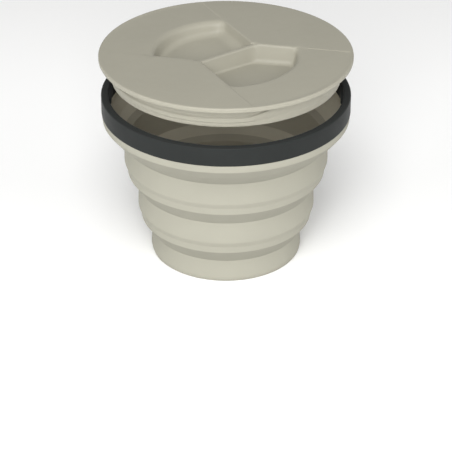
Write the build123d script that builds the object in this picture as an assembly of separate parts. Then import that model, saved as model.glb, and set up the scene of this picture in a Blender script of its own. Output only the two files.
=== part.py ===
from build123d import *
import math
import os

# Collapsible travel cup with a bayonet lid, in millimetres, +Z up.
# The cup stands on its foot at z = 0, opened to its full height, and the lid hangs clear above it.
# The folding body is one silicone moulding in the real cup. Here it is cut at its fold lines into
# stiff bands (base, two tiers, rim flange) and the three thin webs that roll over when it folds.

# ---- heights of the open cup ----
FLOOR_THICKNESS = 2.2
BASE_TOP = 10.5
TIER_PITCH = 22.35
LOWER_TOP = BASE_TOP + TIER_PITCH
UPPER_TOP = LOWER_TOP + TIER_PITCH
FLANGE_BOTTOM = 60.7
FLANGE_SHOULDER = 65.7
RING_BOTTOM = 68.9
RING_TOP = 77.3

# ---- one tier, from its top edge down: stiff wall, chamfer, thin band, sloping web ----
WALL_HEIGHT = 9.15
CHAMFER_HEIGHT = 2.7
BAND_HEIGHT = 3.6
STIFF_HEIGHT = WALL_HEIGHT + CHAMFER_HEIGHT
WALL_FLARE = 0.35
BASE_FLARE = 0.55
CHAMFER_INSET = 1.0
BAND_INSET = 0.38
WALL_THICKNESS = 1.9
WEB_THICKNESS = 1.28

# ---- foot and floor of the base ----
FOOT_ROUNDING = 1.0
FOOT_FLARE_HEIGHT = 2.2
FLOOR_ROUNDING = 2.0

# ---- outside radii ----
BASE_RADIUS = 33.8
FOOT_RADIUS = 33.4
LOWER_RADIUS = 39.45
UPPER_RADIUS = 45.1
FLANGE_NECK_RADIUS = 50.05
FLANGE_SHOULDER_RADIUS = 54.1
FLANGE_RADIUS = 54.4
RING_RADIUS = 54.5
LID_RADIUS = 55.0

# ---- rim flange and the rigid ring it grips ----
FLANGE_BORE = 50.9
FLANGE_BORE_BOTTOM = 66.3
RING_BORE = 51.2
RING_EDGE_ROUNDING = 0.8
TONGUE_INNER = 52.0
TONGUE_OUTER = 53.4
TONGUE_DEPTH = 2.4
LUG_RADIUS = 49.9
LUG_BOTTOM = 73.4
LUG_TOP = 76.2
LUG_ANGLE = 16.0

# ---- lid ----
LID_TRAVEL = 16.15
SEATED_GAP = 0.3
PLATE_THICKNESS = 2.1
PLATE_BOTTOM = RING_TOP + SEATED_GAP + LID_TRAVEL
LID_TOP = PLATE_BOTTOM + PLATE_THICKNESS
SKIRT_DEPTH = 9.0
SKIRT_BOTTOM = PLATE_BOTTOM - SKIRT_DEPTH
SKIRT_RADIUS = 50.4
SKIRT_BORE = 47.8
CHANNEL_RADIUS = 49.2
CHANNEL_HEIGHT = 5.0
CHANNEL_START = -24.0
CHANNEL_ANGLE = 146.0
GAP_ANGLE = 20.0

# ---- finger recesses in the lid, one each side of the grip ridge ----
RIDGE_ANGLE = 37.0
RIDGE_HALF_LENGTH = 14.6
RIDGE_HALF_WIDTH = 0.8
SHARP_RAY_ANGLE = 117.5
OPEN_RAY_ANGLE = 167.9
SHARP_END_RADIUS = 33.5
OPEN_END_RADIUS = 31.2
ARC_SLOPE = 4.5
RECESS_DEPTH = 7.8
RECESS_DRAFT = 1.4
FLOOR_RISE = 0.06
FLOOR_RISE_ANGLE = 100.0
SHELL_THICKNESS = 1.6

# ---- lid seal, in its groove under the plate ----
SEAL_INNER = 51.65
SEAL_OUTER = 53.55
SEAL_CLEARANCE = 0.15
SEAL_PROUD = 0.2
SEAL_GROOVE_DEPTH = 0.95
SEAL_GROOVE_CLEARANCE = 0.1


def section(outline, roundings=()):
    """A flat half-section from (radius, height) points; roundings are (radius, height, rounding)."""
    face = make_face(Polyline(*outline, close=True))
    for radius, height, rounding in roundings:
        corner = face.vertices().sort_by_distance(Vector(radius, height, 0))[0]
        face = fillet(corner, rounding)
    return face


def turned(face, start=0.0, angle=360.0):
    """Turn a half-section about the cup's axis, from one azimuth through an angle."""
    solid = revolve(Plane.XZ * face, Axis.Z, revolution_arc=angle)
    return Rot(0, 0, start) * solid


def block(inner, outer, bottom, top):
    """A rectangular half-section."""
    return section([(inner, bottom), (outer, bottom), (outer, top), (inner, top)])


def twice(solid):
    """A solid and its copy half a turn round the axis."""
    return solid + Rot(0, 0, 180) * solid


# ---- silicone body ----
def stiff_wall(radius, top):
    """The stiff part of a tier: a wall that flares a little downwards, and its chamfer."""
    bottom = top - STIFF_HEIGHT
    bore_top = radius - WALL_FLARE - WALL_THICKNESS
    bore_bottom = radius - CHAMFER_INSET - WEB_THICKNESS
    return turned(section([
        (radius - WALL_FLARE, top),
        (radius, top - WALL_HEIGHT),
        (radius - CHAMFER_INSET, bottom),
        (bore_bottom, bottom),
        (bore_top, top),
    ]))


def fold_web(upper_radius, upper_top, lower_edge_radius, lower_top):
    """The thin band under one tier and the slope down to the top edge of the next."""
    band_top = upper_top - STIFF_HEIGHT
    band_bottom = band_top - BAND_HEIGHT
    band_radius = upper_radius - CHAMFER_INSET
    outside = [
        (band_radius, band_top),
        (band_radius - BAND_INSET, band_bottom),
        (lower_edge_radius, lower_top),
    ]
    inside = [(radius - WEB_THICKNESS, height) for radius, height in reversed(outside)]
    return turned(section(outside + inside))


def base_cup():
    """The bottom of the body: foot, floor and the lowest wall."""
    top_radius = BASE_RADIUS - BASE_FLARE
    bore = top_radius - WALL_THICKNESS
    return turned(section(
        [
            (0, 0),
            (FOOT_RADIUS, 0),
            (BASE_RADIUS, FOOT_FLARE_HEIGHT),
            (top_radius, BASE_TOP),
            (bore, BASE_TOP),
            (bore, FLOOR_THICKNESS),
            (0, FLOOR_THICKNESS),
        ],
        [(FOOT_RADIUS, 0, FOOT_ROUNDING), (bore, FLOOR_THICKNESS, FLOOR_ROUNDING)],
    ))


def rim_flange():
    """The thick silicone collar under the ring, with a groove for the ring's tongue."""
    neck_bore = FLANGE_NECK_RADIUS - WEB_THICKNESS - 0.4
    collar = turned(section([
        (FLANGE_NECK_RADIUS, FLANGE_BOTTOM),
        (FLANGE_SHOULDER_RADIUS, FLANGE_SHOULDER),
        (FLANGE_RADIUS, RING_BOTTOM),
        (FLANGE_BORE, RING_BOTTOM),
        (FLANGE_BORE, FLANGE_BORE_BOTTOM),
        (neck_bore, FLANGE_BOTTOM),
    ]))
    groove = turned(block(TONGUE_INNER, TONGUE_OUTER, RING_BOTTOM - TONGUE_DEPTH, RING_BOTTOM))
    return collar - groove


def upper_fold_web():
    """The web between the rim flange and the upper tier."""
    tier_radius = UPPER_RADIUS - WALL_FLARE
    return turned(section([
        (FLANGE_NECK_RADIUS, FLANGE_BOTTOM),
        (tier_radius, UPPER_TOP),
        (tier_radius - WEB_THICKNESS, UPPER_TOP),
        (FLANGE_NECK_RADIUS - WEB_THICKNESS - 0.4, FLANGE_BOTTOM),
    ]))


# ---- rim ring ----
def rim_ring():
    """The rigid ring: its wall, the tongue that the silicone grips, and two bayonet lugs."""
    wall = turned(section(
        [
            (RING_BORE, RING_BOTTOM),
            (RING_RADIUS, RING_BOTTOM),
            (RING_RADIUS, RING_TOP),
            (RING_BORE, RING_TOP),
        ],
        [(RING_RADIUS, RING_TOP, RING_EDGE_ROUNDING), (RING_BORE, RING_TOP, RING_EDGE_ROUNDING / 2)],
    ))
    tongue = turned(block(TONGUE_INNER, TONGUE_OUTER, RING_BOTTOM - TONGUE_DEPTH, RING_BOTTOM))
    lug = turned(block(LUG_RADIUS, RING_BORE + 1.0, LUG_BOTTOM, LUG_TOP), -LUG_ANGLE / 2, LUG_ANGLE)
    return wall + tongue + twice(lug)


# ---- lid ----
def polar(radius, angle):
    """A point in the plan at a radius and an azimuth in degrees."""
    return Vector(radius * math.cos(math.radians(angle)), radius * math.sin(math.radians(angle)))


def reach(start, angle, radius):
    """Where a ray from a point meets the circle of a radius about the axis."""
    step = polar(1, angle)
    along = start.dot(step)
    return start + step * (math.sqrt(along ** 2 - start.dot(start) + radius ** 2) - along)


def recess_outline(inset, arc_inset):
    """One recess in plan: the ridge side, two straight sides and an arc, all moved inwards."""
    across = polar(1, RIDGE_ANGLE + 90)
    ridge = polar(1, RIDGE_ANGLE)
    middle = across * (RIDGE_HALF_WIDTH + inset)
    sharp_skew = math.radians(SHARP_RAY_ANGLE - RIDGE_ANGLE)
    open_skew = math.radians(RIDGE_ANGLE + 180 - OPEN_RAY_ANGLE)
    sharp_move = inset * (1 - math.cos(sharp_skew)) / math.sin(sharp_skew)
    open_move = inset * (1 - math.cos(open_skew)) / math.sin(open_skew)
    sharp_corner = middle + ridge * (RIDGE_HALF_LENGTH - sharp_move)
    open_corner = middle - ridge * (RIDGE_HALF_LENGTH - open_move)
    sharp_end = reach(sharp_corner, SHARP_RAY_ANGLE, SHARP_END_RADIUS - arc_inset)
    open_end = reach(open_corner, OPEN_RAY_ANGLE, OPEN_END_RADIUS - arc_inset)
    middle_radius = (SHARP_END_RADIUS + OPEN_END_RADIUS) / 2 - arc_inset
    arc_middle = polar(middle_radius, (SHARP_RAY_ANGLE + OPEN_RAY_ANGLE) / 2)
    return make_face([
        Line(open_corner, sharp_corner).edge(),
        Line(sharp_corner, sharp_end).edge(),
        ThreePointArc(sharp_end, arc_middle, open_end).edge(),
        Line(open_end, open_corner).edge(),
    ])


def recess(growth):
    """The recess's space, or with a growth its outer shell: wide at the lid's face, less below.

    Its floor is deepest beside the open ray and rises away from it.
    """
    mouth = Pos(0, 0, LID_TOP) * recess_outline(-growth, -growth)
    rise = Rot(0, -math.degrees(math.atan(FLOOR_RISE)), 0)
    tilt = Rot(0, 0, FLOOR_RISE_ANGLE) * rise * Rot(0, 0, -FLOOR_RISE_ANGLE)
    floor_height = LID_TOP - RECESS_DEPTH - growth
    floor = Pos(0, 0, floor_height) * tilt * recess_outline(RECESS_DRAFT - growth, ARC_SLOPE - growth)
    return loft([mouth, floor])


def lid():
    """The lid: plate, skirt with its bayonet channels, grip ridge and finger recesses."""
    body = turned(section(
        [
            (0, PLATE_BOTTOM),
            (SKIRT_BORE, PLATE_BOTTOM),
            (SKIRT_BORE, SKIRT_BOTTOM),
            (SKIRT_RADIUS, SKIRT_BOTTOM),
            (SKIRT_RADIUS, PLATE_BOTTOM),
            (LID_RADIUS, PLATE_BOTTOM),
            (LID_RADIUS, LID_TOP),
            (0, LID_TOP),
        ],
        [(LID_RADIUS, LID_TOP, 0.9), (LID_RADIUS, PLATE_BOTTOM, 0.5), (SKIRT_RADIUS, SKIRT_BOTTOM, 0.5)],
    ))
    body += twice(recess(SHELL_THICKNESS))
    body -= twice(recess(0))
    cut_radius = SKIRT_RADIUS + 0.6
    channel = block(CHANNEL_RADIUS, cut_radius, PLATE_BOTTOM - CHANNEL_HEIGHT, PLATE_BOTTOM)
    gap = block(CHANNEL_RADIUS, cut_radius, SKIRT_BOTTOM - 1, PLATE_BOTTOM)
    body -= twice(turned(channel, CHANNEL_START, CHANNEL_ANGLE))
    body -= twice(turned(gap, -GAP_ANGLE / 2, GAP_ANGLE))
    groove_inner = SEAL_INNER - SEAL_CLEARANCE
    groove_outer = SEAL_OUTER + SEAL_CLEARANCE
    groove = block(groove_inner, groove_outer, PLATE_BOTTOM, PLATE_BOTTOM + SEAL_GROOVE_DEPTH)
    return body - turned(groove)


def lid_seal():
    """The flat sealing ring that presses on the rim ring's top face."""
    top = PLATE_BOTTOM + SEAL_GROOVE_DEPTH - SEAL_GROOVE_CLEARANCE
    return turned(block(SEAL_INNER, SEAL_OUTER, PLATE_BOTTOM - SEAL_PROUD, top))


parts = {
    "lid": lid(),
    "lid_seal": lid_seal(),
    "rim_ring": rim_ring(),
    "rim_flange": rim_flange(),
    "upper_fold_web": upper_fold_web(),
    "upper_tier": stiff_wall(UPPER_RADIUS, UPPER_TOP),
    "middle_fold_web": fold_web(UPPER_RADIUS, UPPER_TOP, LOWER_RADIUS - WALL_FLARE, LOWER_TOP),
    "lower_tier": stiff_wall(LOWER_RADIUS, LOWER_TOP),
    "lower_fold_web": fold_web(LOWER_RADIUS, LOWER_TOP, BASE_RADIUS - BASE_FLARE, BASE_TOP),
    "base_cup": base_cup(),
}

os.makedirs("parts", exist_ok=True)
for node, solid in parts.items():
    solid.label = node
    export_step(solid, f"parts/{node}.step")
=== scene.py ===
import bmesh
import bpy
import cmath
import math
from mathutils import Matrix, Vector
from mathutils.geometry import delaunay_2d_cdt


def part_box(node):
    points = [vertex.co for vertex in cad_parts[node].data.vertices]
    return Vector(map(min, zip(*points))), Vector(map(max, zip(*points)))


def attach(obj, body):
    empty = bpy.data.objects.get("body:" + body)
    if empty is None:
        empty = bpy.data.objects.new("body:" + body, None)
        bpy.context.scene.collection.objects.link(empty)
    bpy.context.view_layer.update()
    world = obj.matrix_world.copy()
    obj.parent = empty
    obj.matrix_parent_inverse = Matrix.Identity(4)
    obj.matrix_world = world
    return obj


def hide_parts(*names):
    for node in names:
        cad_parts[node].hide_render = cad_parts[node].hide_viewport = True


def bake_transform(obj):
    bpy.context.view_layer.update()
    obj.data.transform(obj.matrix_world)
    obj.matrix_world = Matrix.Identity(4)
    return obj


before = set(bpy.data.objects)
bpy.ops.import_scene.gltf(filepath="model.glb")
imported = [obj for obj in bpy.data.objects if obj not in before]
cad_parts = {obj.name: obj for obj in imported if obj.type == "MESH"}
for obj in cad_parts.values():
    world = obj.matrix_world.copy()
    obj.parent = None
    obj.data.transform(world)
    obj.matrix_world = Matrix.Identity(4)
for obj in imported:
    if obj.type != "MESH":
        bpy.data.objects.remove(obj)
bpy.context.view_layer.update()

# ---------------------------------------------------------------- sizes, in metres
MM = 0.001
COLUMNS = 288
STEP_LENGTH = 0.9 * MM
SHARP_ANGLE = math.radians(40)
ARC_STEP = math.radians(18)

# Heights and radii that the frame already holds.
BASE_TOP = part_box("base_cup")[1].z
LOWER_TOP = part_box("lower_tier")[1].z
LOWER_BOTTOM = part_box("lower_tier")[0].z
UPPER_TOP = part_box("upper_tier")[1].z
UPPER_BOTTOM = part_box("upper_tier")[0].z
FLANGE_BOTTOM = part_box("rim_flange")[0].z
RING_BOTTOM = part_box("rim_flange")[1].z
RING_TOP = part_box("rim_ring")[1].z
LID_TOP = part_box("lid")[1].z
SKIRT_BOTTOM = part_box("lid")[0].z
SEAL_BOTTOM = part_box("lid_seal")[0].z
SEAL_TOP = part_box("lid_seal")[1].z
BASE_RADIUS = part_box("base_cup")[1].x
LOWER_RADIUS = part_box("lower_tier")[1].x
UPPER_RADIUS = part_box("upper_tier")[1].x
FLANGE_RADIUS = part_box("rim_flange")[1].x
RING_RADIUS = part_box("rim_ring")[1].x
LID_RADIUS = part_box("lid")[1].x
SEAL_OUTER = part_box("lid_seal")[1].x

# Silicone body.
WALL_FLARE = 0.35 * MM
BASE_FLARE = 0.55 * MM
WALL_HEIGHT = 9.15 * MM
CHAMFER_INSET = 1.0 * MM
BAND_HEIGHT = 3.6 * MM
BAND_INSET = 0.38 * MM
WALL_THICKNESS = 1.9 * MM
WEB_THICKNESS = 1.28 * MM
FLOOR_THICKNESS = 2.2 * MM
FOOT_ROUNDING = 1.0 * MM
FOOT_INSET = 0.4 * MM
FOOT_FLARE_HEIGHT = 2.2 * MM
FOOT_FACE_WIDTH = 4.0 * MM
FOOT_STEP = 0.25 * MM
INNER_WEB_ROOT = 2.6 * MM
NECK_RADIUS = 50.05 * MM
SHOULDER_HEIGHT = 65.7 * MM
SHOULDER_RADIUS = 54.1 * MM
FLANGE_BORE = 50.9 * MM

# Rim ring.
RING_BORE = 51.2 * MM
RING_TAPER = 0.05 * MM
LUG_REACH = 1.3 * MM
LUG_BOTTOM = 73.4 * MM
LUG_TOP = 76.2 * MM
LUG_ANGLE = 16.0
LUG_ROUNDING = 0.3 * MM

# Lid seal and the groove that holds it.
SEAL_WIDTH = 1.9 * MM
SEAL_CROWN = 0.15 * MM
GROOVE_GAP = 0.15 * MM
GROOVE_ROOM = 0.1 * MM

# Lid.
PLATE_THICKNESS = 2.1 * MM
PLATE_BOTTOM = LID_TOP - PLATE_THICKNESS
TOP_FLAT_RADIUS = 54.2 * MM
TOP_EDGE_ROUNDING = 0.75 * MM
UNDER_EDGE_ROUNDING = 0.5 * MM
SKIRT_RADIUS = 50.4 * MM
SKIRT_BORE = 47.8 * MM
SKIRT_FOOT = SKIRT_RADIUS - 0.5 * MM
LIP_TOP_DEPTH = 4.8 * MM
LIP_FOOT_DEPTH = 8.2 * MM
CHANNEL_RADIUS = 49.7 * MM
CHANNEL_START = -24.0
CHANNEL_END = 123.5
CHANNEL_RAMP = 26.0
CHANNEL_RAMP_RISE = 0.97
CHANNEL_FADE = 7.0
GAP_MIDDLE = 24.0
GAP_HALF_ANGLE = 10.0
RIDGE_ANGLE = 37.0
RIDGE_HALF_LENGTH = 15.0 * MM
RIDGE_HALF_WIDTH = 0.35 * MM
SHARP_RAY_ANGLE = 117.5
OPEN_RAY_ANGLE = 167.9
SHARP_END_RADIUS = 35.2 * MM
OPEN_END_RADIUS = 32.7 * MM
RECESS_DEPTH = 7.9 * MM
RECESS_RISE = 0.06
RECESS_RISE_ANGLE = 100.0
SHELL_THICKNESS = 1.6 * MM
SECTOR_STEP = 0.75 * MM
SHARP_RIM_STEP = 0.26 * MM
OPEN_RIM_STEP = 0.25 * MM
SECTOR_STEP_WIDTH = 0.36 * MM
SECTOR_RIM = 54.1 * MM
SECTOR_FADE = 0.6 * MM
CREASE_WIDTH = 0.12 * MM

# How each wall of a recess, and of its shell below, is shaped: the radius of its edge, its draft in
# degrees and the radius of its foot. The round wall turns into the tip wall towards the open side.
RIDGE_WALL = (0.7 * MM, 12.0, 1.0 * MM)
OPEN_WALL = (0.8 * MM, 14.0, 1.9 * MM)
SHARP_WALL = (0.5 * MM, 10.0, 4.0 * MM)
ROUND_WALL = (2.8 * MM, 14.0, 3.0 * MM)
TIP_WALL = (1.8 * MM, 11.0, 1.6 * MM)
SHELL_SIDE_WALL = (1.0 * MM, 4.0, 1.0 * MM)
SHELL_ROUND_WALL = (2.0 * MM, 16.0, 3.5 * MM)
SHELL_MARGIN = 1.0 * MM


# ---------------------------------------------------------------- mesh helpers
def arc_points(before, corner, after, rounding):
    """The corner of an outline, replaced by an arc that is tangent to both of its sides."""
    to_before = (before - corner) / abs(before - corner)
    to_after = (after - corner) / abs(after - corner)
    half = abs(cmath.phase(to_after / to_before)) / 2
    if rounding <= 0 or half > math.radians(89):
        return [corner]
    tangent = min(rounding / math.tan(half), 0.45 * abs(before - corner), 0.45 * abs(after - corner))
    start = corner + to_before * tangent
    end = corner + to_after * tangent
    steps = max(2, round((math.pi - 2 * half) / ARC_STEP))
    points = []
    for i in range(steps + 1):
        t = i / steps
        points.append((1 - t) ** 2 * start + 2 * t * (1 - t) * corner + t ** 2 * end)
    return points


def softened(outline):
    """An outline of (radius, height, rounding) points as complex points, closed, with round corners."""
    corners = [complex(radius, height) for radius, height, _ in outline]
    count = len(corners)
    points = []
    for i, (_, _, rounding) in enumerate(outline):
        points += arc_points(corners[i - 1], corners[i], corners[(i + 1) % count], rounding)
    return points


def divided(points, closed=True):
    """The same path with extra points, so that no side is much longer than the step length."""
    result = []
    last = len(points) if closed else len(points) - 1
    for i in range(last):
        start = points[i]
        end = points[(i + 1) % len(points)]
        parts = max(1, math.ceil(abs(end - start) / STEP_LENGTH))
        result += [start + (end - start) * k / parts for k in range(parts)]
    if not closed:
        result.append(points[-1])
    return result


def new_piece(name, mesh_data, material):
    """An object from a bmesh, welded, facing outwards and smooth, with its material."""
    bmesh.ops.remove_doubles(mesh_data, verts=mesh_data.verts, dist=2e-6)
    bmesh.ops.recalc_face_normals(mesh_data, faces=mesh_data.faces)
    mesh = bpy.data.meshes.new(name)
    mesh_data.to_mesh(mesh)
    mesh_data.free()
    mesh.shade_smooth()
    mesh.set_sharp_from_angle(angle=SHARP_ANGLE)
    piece = bpy.data.objects.new(name, mesh)
    bpy.context.scene.collection.objects.link(piece)
    mesh.materials.append(material)
    return piece


def add_grid(mesh_data, rows, closed_rows):
    """Quads between rows of points; each row is closed on itself, and the rows may close too."""
    lines = [[mesh_data.verts.new(point) for point in row] for row in rows]
    pairs = list(zip(lines, lines[1:]))
    if closed_rows:
        pairs.append((lines[-1], lines[0]))
    for lower, upper in pairs:
        count = len(lower)
        for i in range(count):
            j = (i + 1) % count
            corners = [lower[i], lower[j], upper[j], upper[i]]
            if (corners[0].co - corners[1].co).length < 1e-9:
                corners = corners[1:]
            mesh_data.faces.new(corners)
    return lines


def circle_row(radius, height):
    """A level circle of points about the axis."""
    row = []
    for column in range(COLUMNS):
        angle = 2 * math.pi * column / COLUMNS
        row.append(Vector((radius * math.cos(angle), radius * math.sin(angle), height)))
    return row


def turned(name, outline, material):
    """A closed piece turned from an outline of (radius, height, rounding) points."""
    mesh_data = bmesh.new()
    points = divided(softened(outline))
    add_grid(mesh_data, [circle_row(point.real, point.imag) for point in points], True)
    return new_piece(name, mesh_data, material)


def line_inside(piece, material):
    """Give the faces that look at the axis, or up, their own material."""
    mesh = piece.data
    mesh.materials.append(material)
    slot = len(mesh.materials) - 1
    for face in mesh.polygons:
        outward = face.normal.x * face.center.x + face.normal.y * face.center.y
        if outward < 0 or face.normal.z > 0.7:
            face.material_index = slot


def paint_web(piece, layer, material, bottom, top):
    """Give a layer's faces between two heights their own material.

    Layer 0 is the outside, and layer 1 is the inside, which line_inside has marked.
    """
    mesh = piece.data
    mesh.materials.append(material)
    slot = len(mesh.materials) - 1
    for face in mesh.polygons:
        if face.material_index == layer and bottom < face.center.z < top:
            face.material_index = slot


# ---------------------------------------------------------------- materials
def material_nodes(name):
    """A new material with its node tree, principled shader and object coordinates."""
    material = bpy.data.materials.new(name)
    material.use_nodes = True
    tree = material.node_tree
    shader = tree.nodes["Principled BSDF"]
    coordinates = tree.nodes.new("ShaderNodeTexCoord")
    return material, tree, shader, coordinates.outputs["Object"]


def noise(tree, position, size, detail=3.0, roughness=0.5):
    """Noise whose blotches are about one size across, in metres."""
    node = tree.nodes.new("ShaderNodeTexNoise")
    node.inputs["Scale"].default_value = 1.0 / size
    node.inputs["Detail"].default_value = detail
    node.inputs["Roughness"].default_value = roughness
    tree.links.new(position, node.inputs["Vector"])
    return node.outputs["Fac"]


def spread(tree, value, low, high, to_low, to_high):
    """A value's stretch from low to high, mapped to another stretch and held at its ends."""
    node = tree.nodes.new("ShaderNodeMapRange")
    node.inputs["From Min"].default_value = low
    node.inputs["From Max"].default_value = high
    node.inputs["To Min"].default_value = to_low
    node.inputs["To Max"].default_value = to_high
    tree.links.new(value, node.inputs["Value"])
    return node.outputs["Result"]


def math_node(tree, operation, first, second):
    """A sum, product or other operation on two values; the second may be a number."""
    node = tree.nodes.new("ShaderNodeMath")
    node.operation = operation
    tree.links.new(first, node.inputs[0])
    if isinstance(second, (int, float)):
        node.inputs[1].default_value = second
    else:
        tree.links.new(second, node.inputs[1])
    return node.outputs["Value"]


def mixed(tree, factor, first, second):
    """A colour between two colours; each is a tuple or another node's output."""
    node = tree.nodes.new("ShaderNodeMix")
    node.data_type = "RGBA"
    tree.links.new(factor, node.inputs["Factor"])
    for socket, value in (("A", first), ("B", second)):
        target = [s for s in node.inputs if s.name == socket and s.type == "RGBA"][0]
        if isinstance(value, tuple):
            target.default_value = (*value, 1.0)
        else:
            tree.links.new(value, target)
    return [s for s in node.outputs if s.type == "RGBA"][0]


def scaled(colour, share):
    """A colour made lighter or darker."""
    return tuple(channel * share for channel in colour)


def add_bump(tree, shader, height, distance, strength=1.0):
    """Bump from a height between 0 and 1, over a real distance."""
    node = tree.nodes.new("ShaderNodeBump")
    node.inputs["Distance"].default_value = distance
    node.inputs["Strength"].default_value = strength
    tree.links.new(height, node.inputs["Height"])
    tree.links.new(node.outputs["Normal"], shader.inputs["Normal"])


def edge_share(tree, low, high):
    """How far a point lies on a convex edge, from the mesh's pointiness."""
    geometry = tree.nodes.new("ShaderNodeNewGeometry")
    return spread(tree, geometry.outputs["Pointiness"], low, high, 0.0, 1.0)


def moulded(name, colour, roughness, specular, grain, grain_depth, blotch=0.02):
    """Moulded plastic or silicone: clouded colour, fine surface grain and lighter, smoother edges."""
    material, tree, shader, position = material_nodes(name)
    clouds = noise(tree, position, 22 * MM, 4.0, 0.6)
    specks = noise(tree, position, 0.5 * MM, 2.0, 0.7)
    fine = noise(tree, position, grain, 4.0, 0.65)
    swell = noise(tree, position, 9 * MM, 2.0, 0.4)
    clouded = mixed(
        tree, spread(tree, clouds, 0.3, 0.7, 0.0, 1.0),
        scaled(colour, 1 - blotch), scaled(colour, 1 + blotch),
    )
    dusted = mixed(tree, spread(tree, specks, 0.62, 0.8, 0.0, 0.35), clouded, scaled(colour, 1.12))
    pitted = mixed(tree, spread(tree, specks, 0.36, 0.22, 0.0, 0.35), dusted, scaled(colour, 0.85))
    edges = edge_share(tree, 0.52, 0.6)
    worn = math_node(tree, "MULTIPLY", edges, spread(tree, clouds, 0.35, 0.65, 0.15, 0.5))
    tree.links.new(mixed(tree, worn, pitted, scaled(colour, 1.1)), shader.inputs["Base Color"])
    rough = spread(tree, noise(tree, position, 6 * MM, 3.0), 0.3, 0.7, roughness - 0.05, roughness + 0.05)
    polished = math_node(tree, "SUBTRACT", rough, math_node(tree, "MULTIPLY", worn, 0.12))
    tree.links.new(polished, shader.inputs["Roughness"])
    relief = math_node(tree, "ADD", fine, math_node(tree, "MULTIPLY", swell, 1.5))
    add_bump(tree, shader, relief, grain_depth)
    shader.inputs["Specular IOR Level"].default_value = specular
    return material


def outer_silicone(name, colour):
    """The silicone's outside: matte and faintly dusty."""
    return moulded(name, colour, roughness=0.7, specular=0.12, grain=0.12 * MM, grain_depth=0.012 * MM)


def lining_silicone(name, colour):
    """The silicone's inside, which is a little smoother."""
    return moulded(name, colour, roughness=0.6, specular=0.2, grain=0.12 * MM, grain_depth=0.012 * MM)


# The webs' outsides are painted darker than the walls, as painted shade under the tiers; the inside
# lining is painted lighter, as painted light in the shaded inside, and the inside of the webs is painted
# lighter still.
SAND_SILICONE = (0.333, 0.324, 0.27)
WEB_PAINTED_SHADE = (0.29, 0.282, 0.235)
INNER_PAINTED_LIGHT = (0.45, 0.42, 0.337)
INNER_WEB_PAINTED_LIGHT = (0.6, 0.56, 0.45)
SAND_PLASTIC = (0.302, 0.289, 0.235)
CHARCOAL = (0.023, 0.025, 0.0243)

silicone = outer_silicone("body_silicone", SAND_SILICONE)
web_painted_shade_silicone = outer_silicone("web_painted_shade_silicone", WEB_PAINTED_SHADE)
inner_painted_light_silicone = lining_silicone("inner_painted_light_silicone", INNER_PAINTED_LIGHT)
inner_web_painted_light_silicone = lining_silicone("inner_web_painted_light_silicone", INNER_WEB_PAINTED_LIGHT)
seal_rubber = moulded(
    "seal_rubber", scaled(SAND_SILICONE, 1.05),
    roughness=0.55, specular=0.35, grain=0.1 * MM, grain_depth=0.01 * MM, blotch=0.03)
lid_plastic = moulded(
    "lid_plastic", SAND_PLASTIC,
    roughness=0.5, specular=0.4, grain=0.16 * MM, grain_depth=0.012 * MM)
ring_plastic = moulded(
    "ring_plastic", CHARCOAL,
    roughness=0.55, specular=0.06, grain=0.18 * MM, grain_depth=0.016 * MM, blotch=0.05)
ring_shader = ring_plastic.node_tree.nodes["Principled BSDF"]
ring_shader.inputs["Sheen Weight"].default_value = 0.06
ring_shader.inputs["Sheen Roughness"].default_value = 0.4


# ---------------------------------------------------------------- silicone body
def base_piece():
    """Foot, floor and lowest wall; under the floor, all but the foot's ring is a little higher."""
    top_radius = BASE_RADIUS - BASE_FLARE
    bore = top_radius - WALL_THICKNESS
    face_radius = BASE_RADIUS - FOOT_FACE_WIDTH
    axis_radius = 0.01 * MM
    piece = turned("base_wall_and_foot", [
        (axis_radius, FOOT_STEP, 0),
        (face_radius - 0.6 * MM, FOOT_STEP, 0.3 * MM),
        (face_radius, 0, 0.2 * MM),
        (BASE_RADIUS - FOOT_INSET, 0, FOOT_ROUNDING),
        (BASE_RADIUS, FOOT_FLARE_HEIGHT, 1.5 * MM),
        (top_radius, BASE_TOP, 0),
        (bore, BASE_TOP, 0),
        (bore, FLOOR_THICKNESS, 2.5 * MM),
        (axis_radius, FLOOR_THICKNESS, 0),
    ], silicone)
    # Painted light: the inside gets the lighter lining silicone.
    line_inside(piece, inner_painted_light_silicone)
    return piece


def tier_piece(name, radius, top, bottom, next_radius, next_top):
    """One tier's wall with the chamfer, thin band and sloping web below it, as one skin."""
    band_radius = radius - CHAMFER_INSET
    band_bottom = bottom - BAND_HEIGHT
    skin = turned(name, [
        (radius - WALL_FLARE, top, 0),
        (radius - WALL_FLARE - WALL_THICKNESS, top, 0),
        (band_radius - WEB_THICKNESS, bottom, 2 * MM),
        (band_radius - BAND_INSET - WEB_THICKNESS, band_bottom, 1.2 * MM),
        (next_radius - WALL_THICKNESS, next_top, 0),
        (next_radius, next_top, 0),
        (band_radius - BAND_INSET, band_bottom, 0.6 * MM),
        (band_radius, bottom - 0.5 * MM, 1.6 * MM),
        (radius, top - WALL_HEIGHT - 0.8 * MM, 2.0 * MM),
    ], silicone)
    # Painted light: the inside gets the lighter lining silicone.
    line_inside(skin, inner_painted_light_silicone)
    # Painted shade: the outside of the web gets the darker silicone.
    paint_web(skin, 0, web_painted_shade_silicone, next_top, band_bottom)
    # Painted light: the inside of the web is painted lighter still.
    paint_web(skin, 1, inner_web_painted_light_silicone, next_top + INNER_WEB_ROOT, band_bottom + 0.4 * MM)
    return skin


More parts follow.
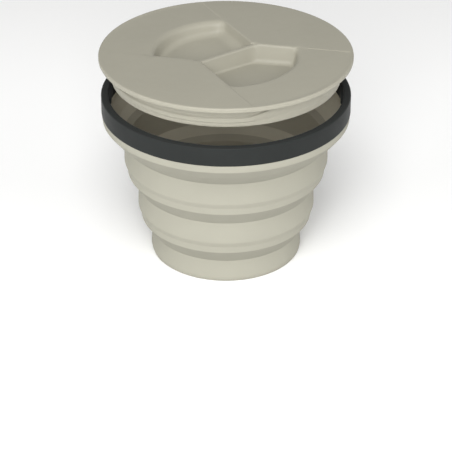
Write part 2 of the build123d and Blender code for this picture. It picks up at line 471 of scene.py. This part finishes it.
def rim_piece():
    """The collar under the ring and the web down to the upper tier."""
    tier_radius = UPPER_RADIUS - WALL_FLARE
    skin = turned("rim_collar_and_web", [
        (NECK_RADIUS, FLANGE_BOTTOM, 0.8 * MM),
        (SHOULDER_RADIUS, SHOULDER_HEIGHT, 0.7 * MM),
        (FLANGE_RADIUS, RING_BOTTOM, 0.25 * MM),
        (FLANGE_BORE, RING_BOTTOM, 0.4 * MM),
        (FLANGE_BORE, SHOULDER_HEIGHT + 0.9 * MM, 1.0 * MM),
        (NECK_RADIUS - WEB_THICKNESS - 0.5 * MM, FLANGE_BOTTOM, 1.5 * MM),
        (tier_radius - WALL_THICKNESS, UPPER_TOP, 0),
        (tier_radius, UPPER_TOP, 0),
    ], silicone)
    # Painted light: the inside gets the lighter lining silicone.
    line_inside(skin, inner_painted_light_silicone)
    # Painted shade: the outside of the web gets the darker silicone.
    paint_web(skin, 0, web_painted_shade_silicone, UPPER_TOP, SHOULDER_HEIGHT - 0.5 * MM)
    # Painted light: the inside of the web is painted lighter still.
    paint_web(skin, 1, inner_web_painted_light_silicone, UPPER_TOP + INNER_WEB_ROOT, RING_BOTTOM)
    return skin


base = base_piece()
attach(base, "base")
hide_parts("base_cup")

lower_skin = tier_piece(
    "lower_tier_and_web", LOWER_RADIUS, LOWER_TOP, LOWER_BOTTOM, BASE_RADIUS - BASE_FLARE, BASE_TOP)
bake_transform(lower_skin)
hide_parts("lower_tier", "lower_fold_web")

upper_skin = tier_piece(
    "upper_tier_and_web", UPPER_RADIUS, UPPER_TOP, UPPER_BOTTOM, LOWER_RADIUS - WALL_FLARE, LOWER_TOP)
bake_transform(upper_skin)
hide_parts("upper_tier", "middle_fold_web")

rim_skin = rim_piece()
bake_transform(rim_skin)
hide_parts("rim_flange", "upper_fold_web")


# ---------------------------------------------------------------- rim ring
def add_lug(mesh_data, middle):
    """A bayonet lug inside the ring, thinning towards both ends, let a little into its wall."""
    root = RING_BORE + 0.3 * MM
    rows = []
    steps = 24
    for i in range(steps + 1):
        t = 2 * i / steps - 1
        share = math.sqrt(max(0.0, 1 - abs(t) ** 6))
        angle = math.radians(middle + t * LUG_ANGLE / 2)
        tip = RING_BORE + 0.2 * MM - (LUG_REACH + 0.2 * MM) * share
        outline = [
            (root, LUG_BOTTOM - LUG_ROUNDING),
            (tip + LUG_ROUNDING, LUG_BOTTOM),
            (tip, LUG_BOTTOM + LUG_ROUNDING),
            (tip, LUG_TOP - LUG_ROUNDING),
            (tip + LUG_ROUNDING, LUG_TOP),
            (root, LUG_TOP + LUG_ROUNDING),
        ]
        rows.append([
            Vector((radius * math.cos(angle), radius * math.sin(angle), height))
            for radius, height in outline
        ])
    lines = add_grid(mesh_data, rows, False)
    mesh_data.faces.new(lines[0])
    mesh_data.faces.new(lines[-1])


def ring_piece():
    """The charcoal ring: slightly tapered outside, rounded top and two lugs inside."""
    mesh_data = bmesh.new()
    points = divided(softened([
        (RING_RADIUS, RING_BOTTOM, 0.3 * MM),
        (RING_RADIUS - RING_TAPER, RING_TOP, 0.7 * MM),
        (RING_BORE, RING_TOP, 0.5 * MM),
        (RING_BORE, RING_BOTTOM, 0.3 * MM),
    ]))
    add_grid(mesh_data, [circle_row(point.real, point.imag) for point in points], True)
    add_lug(mesh_data, 0.0)
    add_lug(mesh_data, 180.0)
    return new_piece("rim_ring_moulding", mesh_data, ring_plastic)


ring = ring_piece()
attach(ring, "rim")
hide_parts("rim_ring")

# ---------------------------------------------------------------- lid seal
seal = turned("lid_sealing_ring", [
    (SEAL_OUTER - SEAL_WIDTH, SEAL_BOTTOM + SEAL_CROWN, 0.2 * MM),
    (SEAL_OUTER - SEAL_WIDTH / 2, SEAL_BOTTOM, 0.6 * MM),
    (SEAL_OUTER, SEAL_BOTTOM + SEAL_CROWN, 0.2 * MM),
    (SEAL_OUTER, SEAL_TOP, 0.1 * MM),
    (SEAL_OUTER - SEAL_WIDTH, SEAL_TOP, 0.1 * MM),
], seal_rubber)
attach(seal, "seal")
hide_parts("lid_seal")


# ---------------------------------------------------------------- lid, in plan
# Plan points are complex numbers, and a line is a point with a unit direction.
def unit(angle):
    """The direction at an angle in degrees."""
    return cmath.rect(1.0, math.radians(angle))


def cross(first, second):
    """The cross product of two plan vectors."""
    return (first.conjugate() * second).imag


def dot(first, second):
    """The dot product of two plan vectors."""
    return (first.conjugate() * second).real


def meet(line, other):
    """Where two lines cross."""
    (point, direction), (other_point, other_direction) = line, other
    along = cross(other_point - point, other_direction) / cross(direction, other_direction)
    return point + direction * along


def reach(line, radius):
    """Where a line, followed outwards, meets a circle about the axis."""
    point, direction = line
    along = dot(point, direction)
    return point + direction * (math.sqrt(along ** 2 - abs(point) ** 2 + radius ** 2) - along)


RIDGE = unit(RIDGE_ANGLE)
ACROSS = RIDGE * 1j
SHARP_RAY = unit(SHARP_RAY_ANGLE)
OPEN_RAY = unit(OPEN_RAY_ANGLE)
SHARP_CORNER = ACROSS * RIDGE_HALF_WIDTH + RIDGE * RIDGE_HALF_LENGTH
OPEN_CORNER = ACROSS * RIDGE_HALF_WIDTH - RIDGE * RIDGE_HALF_LENGTH


def sharp_side(inset):
    """The recess's side at the ridge's right end, moved into the recess."""
    return SHARP_CORNER + SHARP_RAY * 1j * inset, SHARP_RAY


def open_side(inset):
    """The recess's side at the ridge's left end, moved into the recess."""
    return OPEN_CORNER - OPEN_RAY * 1j * inset, OPEN_RAY


def ridge_side(inset):
    """The recess's side along the ridge, moved into the recess."""
    return ACROSS * (RIDGE_HALF_WIDTH + inset), RIDGE


def straight(start, end, count, crowd=0):
    """Points along a line, crowded towards its end for a crowd of 1 and towards its start for -1."""
    points = []
    for i in range(count):
        t = i / count
        points.append(start + (end - start) * (t + crowd * t * (1 - t)))
    return points


def round_side(start, end, count):
    """Points round the axis, from one point to another as the radius changes evenly."""
    return [start * (end / start) ** (i / count) for i in range(count)]


def eased(loop, passes):
    """A closed loop with its corners rounded by averaging neighbours."""
    for _ in range(passes):
        count = len(loop)
        loop = [(loop[i - 1] + 2 * loop[i] + loop[(i + 1) % count]) / 4 for i in range(count)]
    return loop


def wall_inset(depth, full_depth, wall):
    """How far a wall has come in at a depth, with its edge and its foot rounded."""
    edge, draft, foot = wall
    inset = depth * math.tan(math.radians(draft))
    inset += math.sqrt(edge ** 2 - max(0.0, edge - depth) ** 2)
    rest = full_depth - depth
    inset += foot - math.sqrt(foot ** 2 - max(0.0, foot - rest) ** 2)
    return inset


def recess_loop(depth):
    """The recess's outline at one depth, as a closed loop of a fixed number of points.

    Each corner is rounder where its points are further apart: least where the ridge meets the sharp
    side, most where it meets the open side.
    """
    ridge = ridge_side(wall_inset(depth, RECESS_DEPTH, RIDGE_WALL))
    sharp = sharp_side(wall_inset(depth, RECESS_DEPTH, SHARP_WALL))
    opened = open_side(wall_inset(depth, RECESS_DEPTH, OPEN_WALL))
    sharp_corner = meet(ridge, sharp)
    open_corner = meet(ridge, opened)
    sharp_end = reach(sharp, SHARP_END_RADIUS - wall_inset(depth, RECESS_DEPTH, ROUND_WALL))
    open_end = reach(opened, OPEN_END_RADIUS - wall_inset(depth, RECESS_DEPTH, TIP_WALL))
    loop = straight(open_corner, sharp_corner, 56, 1)
    loop += straight(sharp_corner, sharp_end, 48, -1)
    loop += round_side(sharp_end, open_end, 60)
    loop += straight(open_end, open_corner, 36)
    return eased(loop, 12)


def shell_loop(inset, round_inset):
    """The outline of both recesses' shells together, seen from below, as a closed loop."""
    sharp_end = reach(sharp_side(inset), SHARP_END_RADIUS - round_inset)
    open_end = reach(open_side(inset), OPEN_END_RADIUS - round_inset)
    other_open = (-open_side(inset)[0], -OPEN_RAY)
    half = straight(meet(other_open, sharp_side(inset)), sharp_end, 24)
    half += round_side(sharp_end, open_end, 36)
    other_sharp = (-sharp_side(inset)[0], -SHARP_RAY)
    half += straight(open_end, meet(open_side(inset), other_sharp), 24)
    return eased(half + [-point for point in half], 4)


def smooth(value, low, high):
    """0 below low, 1 above high, and a smooth rise between."""
    t = min(1.0, max(0.0, (value - low) / (high - low)))
    return t * t * (3 - 2 * t)


def top_height(point):
    """The lid's top face: the two recess sectors dip towards the middle, below the flat sectors."""
    if dot(point, ACROSS) < 0:
        point = -point
    from_sharp = dot(point - SHARP_CORNER, SHARP_RAY * 1j)
    from_open = dot(point - OPEN_CORNER, -OPEN_RAY * 1j)
    if min(from_sharp, from_open) <= 0:
        return LID_TOP
    share = from_sharp / (from_sharp + from_open)
    rim_step = SHARP_RIM_STEP + (OPEN_RIM_STEP - SHARP_RIM_STEP) * share
    dip = SECTOR_STEP + (rim_step - SECTOR_STEP) * smooth(abs(point), 8 * MM, SHARP_END_RADIUS)
    dip *= 1 - smooth(abs(point), SECTOR_RIM - SECTOR_FADE, SECTOR_RIM)
    return LID_TOP - dip * smooth(min(from_sharp, from_open), 0.0, SECTOR_STEP_WIDTH)


def floor_height(point):
    """The recess's floor, which rises gently towards the round wall."""
    return LID_TOP - RECESS_DEPTH + RECESS_RISE * dot(point, unit(RECESS_RISE_ANGLE))


# ---------------------------------------------------------------- lid, as a mesh
def is_inside(point, loop):
    """True if a point lies inside a closed loop."""
    inside = False
    for i in range(len(loop)):
        a, b = loop[i - 1], loop[i]
        if (a.imag > point.imag) != (b.imag > point.imag):
            if point.real < a.real + (point.imag - a.imag) * (b.real - a.real) / (b.imag - a.imag):
                inside = not inside
    return inside


def add_flat(mesh_data, outer, holes, creases, spacing, height):
    """Triangles between an outer loop and holes, with edges along creases, at a height function."""
    points = []
    edges = []
    for loop in [outer, *holes]:
        first = len(points)
        points += loop
        edges += [(first + i, first + (i + 1) % len(loop)) for i in range(len(loop))]
    for line in creases:
        first = len(points)
        points += line
        edges += [(first + i, first + i + 1) for i in range(len(line) - 1)]
    taken = {(round(p.real / spacing), round(p.imag / spacing)) for p in points}
    reach_out = max(abs(point) for point in outer)
    rows = int(reach_out / spacing) + 1
    for i in range(-rows, rows + 1):
        for j in range(-rows, rows + 1):
            point = complex(i + 0.5 * (j % 2), j * 0.87) * spacing
            near = (round(point.real / spacing), round(point.imag / spacing))
            if near in taken or not is_inside(point, outer):
                continue
            if not any(is_inside(point, hole) for hole in holes):
                points.append(point)
    flat = [Vector((point.real, point.imag)) for point in points]
    found, _, faces, _, _, _ = delaunay_2d_cdt(flat, edges, [], 0, 1e-9)
    verts = [mesh_data.verts.new((v.x, v.y, height(complex(v.x, v.y)))) for v in found]
    for face in faces:
        middle = sum((complex(found[i].x, found[i].y) for i in face), 0j) / len(face)
        if is_inside(middle, outer) and not any(is_inside(middle, hole) for hole in holes):
            mesh_data.faces.new([verts[i] for i in face])


def circle_loop(radius):
    """A circle about the axis, in plan."""
    return [complex(point.x, point.y) for point in circle_row(radius, 0.0)]


def sector_creases():
    """Lines beside each sector's edge, from the recess's tips to near the rim."""
    lines = []
    for side in (sharp_side, open_side):
        for offset in (-CREASE_WIDTH, 0.0, SECTOR_STEP_WIDTH, SECTOR_STEP_WIDTH + CREASE_WIDTH):
            start = reach(side(offset), SHARP_END_RADIUS + 0.6 * MM)
            end = reach(side(offset), SECTOR_RIM)
            line = straight(start, end, 22) + [end]
            lines.append(line)
            lines.append([-point for point in line])
    return lines


def lifted(loop, height):
    """A plan loop as points at one height."""
    return [Vector((point.real, point.imag, height)) for point in loop]


def add_recess(mesh_data, flipped):
    """One recess's rounded edge, walls and floor."""
    sign = -1 if flipped else 1
    steps = 26
    rows = []
    for i in range(steps + 1):
        depth = RECESS_DEPTH * (1 - math.cos(math.pi * i / steps)) / 2
        row = []
        for k, point in enumerate(recess_loop(depth)):
            edge = rows[0][k].z if rows else top_height(point)
            height = edge + (floor_height(point) - edge) * depth / RECESS_DEPTH
            row.append(Vector((sign * point.real, sign * point.imag, height)))
        rows.append(row)
    add_grid(mesh_data, rows, False)
    floor = [complex(point.x, point.y) for point in rows[-1]]
    add_flat(mesh_data, floor, [], [], 1.1 * MM, lambda point: floor_height(sign * point))


def add_shells(mesh_data):
    """The recesses' shells on the lid's underside, and the flat around them."""
    plate_depth = LID_TOP - PLATE_BOTTOM
    full = RECESS_DEPTH + SHELL_THICKNESS - plate_depth
    steps = 16
    rows = []
    for i in range(steps + 1):
        depth = full * (1 - math.cos(math.pi * i / steps)) / 2
        inset = wall_inset(depth, full, SHELL_SIDE_WALL) - SHELL_THICKNESS - SHELL_MARGIN
        round_inset = wall_inset(depth, full, SHELL_ROUND_WALL) - SHELL_THICKNESS
        rows.append(lifted(shell_loop(inset, round_inset), PLATE_BOTTOM - depth))
    add_grid(mesh_data, rows, False)
    bottom = [complex(point.x, point.y) for point in rows[-1]]
    edge = [complex(point.x, point.y) for point in rows[0]]
    add_flat(mesh_data, bottom, [], [], 1.6 * MM, lambda point: PLATE_BOTTOM - full)
    around = circle_loop(SKIRT_BORE - 0.8 * MM)
    add_flat(mesh_data, around, [edge], [], 1.6 * MM, lambda point: PLATE_BOTTOM)


# Each row of the skirt's outside: depth below the plate, and the radius beside a channel, where the
# skirt is solid, and in a lug's entry gap.
SKIRT_ROWS = [
    (0.0, CHANNEL_RADIUS, SKIRT_RADIUS, CHANNEL_RADIUS),
    (1.8 * MM, CHANNEL_RADIUS, SKIRT_RADIUS, CHANNEL_RADIUS),
    (3.3 * MM, CHANNEL_RADIUS, SKIRT_RADIUS, CHANNEL_RADIUS),
    (4.2 * MM, CHANNEL_RADIUS, SKIRT_RADIUS, CHANNEL_RADIUS),
    (4.45 * MM, CHANNEL_RADIUS + 0.1 * MM, SKIRT_RADIUS, CHANNEL_RADIUS),
    (4.75 * MM, SKIRT_RADIUS - 0.1 * MM, SKIRT_RADIUS, CHANNEL_RADIUS),
    (5.0 * MM, SKIRT_RADIUS, SKIRT_RADIUS, CHANNEL_RADIUS),
    (6.5 * MM, SKIRT_RADIUS, SKIRT_RADIUS, CHANNEL_RADIUS),
    (7.0 * MM, SKIRT_FOOT, SKIRT_FOOT, CHANNEL_RADIUS),
    (7.3 * MM, SKIRT_FOOT, SKIRT_FOOT, CHANNEL_RADIUS),
    (8.2 * MM, SKIRT_FOOT - 0.1 * MM, SKIRT_FOOT - 0.1 * MM, CHANNEL_RADIUS),
    (8.7 * MM, SKIRT_FOOT - 0.2 * MM, SKIRT_FOOT - 0.2 * MM, CHANNEL_RADIUS),
    (8.9 * MM, SKIRT_FOOT - 0.35 * MM, SKIRT_FOOT - 0.35 * MM, CHANNEL_RADIUS - 0.1 * MM),
    (9.0 * MM, SKIRT_FOOT - 0.6 * MM, SKIRT_FOOT - 0.6 * MM, CHANNEL_RADIUS - 0.4 * MM),
]


def skirt_row(depth, beside_channel, solid, in_gap):
    """One row round the skirt, with the channels, their ramped ends and the lugs' entry gaps."""
    column_angle = 360 / COLUMNS
    row = []
    for column in range(COLUMNS):
        angle = column * column_angle
        phase = (angle - CHANNEL_START) % 180
        length = CHANNEL_END - CHANNEL_START
        open_share = 1 - smooth(phase, length - CHANNEL_FADE, length)
        if phase > 180 - column_angle:
            open_share = 1.0  # the channel's other end is square, one column before its start
        gap_share = 1 - smooth(abs(phase - GAP_MIDDLE), GAP_HALF_ANGLE - column_angle, GAP_HALF_ANGLE)
        rise = CHANNEL_RAMP_RISE * smooth(phase, length - CHANNEL_RAMP, length)
        rise *= 1 - smooth(phase, length, 180)
        radius = solid + (beside_channel - solid) * open_share
        radius += (in_gap - radius) * gap_share
        level = depth
        if depth <= LIP_TOP_DEPTH:
            level = depth * (1 - rise)
        elif depth < LIP_FOOT_DEPTH:
            share = (LIP_FOOT_DEPTH - depth) / (LIP_FOOT_DEPTH - LIP_TOP_DEPTH)
            level = depth - LIP_TOP_DEPTH * rise * share
        turn = math.radians(angle)
        row.append(Vector((radius * math.cos(turn), radius * math.sin(turn), PLATE_BOTTOM - level)))
    return row


def lid_piece():
    """The whole lid, as one closed moulding."""
    mesh_data = bmesh.new()
    groove_outer = SEAL_OUTER + GROOVE_GAP
    groove_inner = SEAL_OUTER - SEAL_WIDTH - GROOVE_GAP
    groove_top = SEAL_TOP + GROOVE_ROOM
    top_corner = complex(LID_RADIUS, LID_TOP)
    under_corner = complex(LID_RADIUS, PLATE_BOTTOM)
    groove_edge = complex(groove_outer, PLATE_BOTTOM)
    edge = divided([
        complex(TOP_FLAT_RADIUS, LID_TOP),
        *arc_points(complex(SKIRT_RADIUS, LID_TOP), top_corner, under_corner, TOP_EDGE_ROUNDING),
        *arc_points(top_corner, under_corner, groove_edge, UNDER_EDGE_ROUNDING),
        groove_edge,
        complex(groove_outer, groove_top),
        complex(groove_inner, groove_top),
        complex(groove_inner, PLATE_BOTTOM),
    ], closed=False)
    rows = [circle_row(point.real, point.imag) for point in edge]
    rows += [skirt_row(*row) for row in SKIRT_ROWS]
    bore = divided([
        complex(SKIRT_BORE + 0.4 * MM, SKIRT_BOTTOM),
        complex(SKIRT_BORE + 0.1 * MM, SKIRT_BOTTOM + 0.1 * MM),
        complex(SKIRT_BORE, SKIRT_BOTTOM + 0.4 * MM),
        complex(SKIRT_BORE, PLATE_BOTTOM - 0.8 * MM),
        complex(SKIRT_BORE - 0.25 * MM, PLATE_BOTTOM - 0.25 * MM),
        complex(SKIRT_BORE - 0.8 * MM, PLATE_BOTTOM),
    ], closed=False)
    rows += [circle_row(point.real, point.imag) for point in bore]
    add_grid(mesh_data, rows, False)
    first = recess_loop(0.0)
    add_flat(
        mesh_data, circle_loop(TOP_FLAT_RADIUS), [first, [-point for point in first]],
        sector_creases(), 1.2 * MM, top_height)
    add_recess(mesh_data, False)
    add_recess(mesh_data, True)
    add_shells(mesh_data)
    return new_piece("lid_moulding", mesh_data, lid_plastic)


lid = lid_piece()
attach(lid, "lid")
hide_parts("lid")


# ---------------------------------------------------------------- floor, light and camera
def plain_floor():
    """A wide pale floor."""
    mesh = bpy.data.meshes.new("floor")
    half = 3.0
    corners = [(-half, -half, 0), (half, -half, 0), (half, half, 0), (-half, half, 0)]
    mesh.from_pydata(corners, [], [(0, 1, 2, 3)])
    piece = bpy.data.objects.new("floor", mesh)
    bpy.context.scene.collection.objects.link(piece)
    material, tree, shader, position = material_nodes("pale_floor")
    tone = mixed(tree, noise(tree, position, 0.4), (0.955, 0.955, 0.95), (0.97, 0.97, 0.965))
    tree.links.new(tone, shader.inputs["Base Color"])
    shader.inputs["Roughness"].default_value = 0.9
    shader.inputs["Specular IOR Level"].default_value = 0.1
    mesh.materials.append(material)


def softbox(name, azimuth, elevation, size, power):
    """A square soft light one metre from the cup; azimuth 0 is the camera's side."""
    data = bpy.data.lights.new(name, "AREA")
    data.size = size
    data.energy = power
    light = bpy.data.objects.new(name, data)
    target = Vector((0.0, 0.0, 0.05))
    turn = math.radians(azimuth)
    rise = math.radians(elevation)
    away = Vector((math.cos(rise) * math.sin(turn), -math.cos(rise) * math.cos(turn), math.sin(rise)))
    light.location = target + away
    light.rotation_euler = (-away).to_track_quat("-Z", "Y").to_euler()
    bpy.context.scene.collection.objects.link(light)


def white_world(strength):
    """Even white light from all sides."""
    world = bpy.data.worlds.new("studio")
    world.use_nodes = True
    background = world.node_tree.nodes["Background"]
    background.inputs["Color"].default_value = (1.0, 1.0, 0.995, 1.0)
    background.inputs["Strength"].default_value = strength
    bpy.context.scene.world = world


def add_camera():
    """The photograph's view: a long lens, looking down at about 30 degrees."""
    data = bpy.data.cameras.new("camera")
    data.lens = 145.8
    data.sensor_width = 36.0
    data.clip_end = 20.0
    camera = bpy.data.objects.new("camera", data)
    camera.location = (0.0, -0.7181, 0.4300)
    camera.rotation_euler = (math.radians(59.6), 0.0, 0.0)
    bpy.context.scene.collection.objects.link(camera)
    bpy.context.scene.camera = camera


plain_floor()
white_world(0.34)
softbox("low_front", azimuth=-5, elevation=29, size=0.4, power=5.6)
softbox("high_front", azimuth=-5, elevation=54, size=0.4, power=4.8)
softbox("left", azimuth=-68, elevation=22, size=0.5, power=3.2)
softbox("right", azimuth=65, elevation=27, size=0.7, power=3.5)
add_camera()
bpy.context.scene.view_settings.view_transform = "Standard"
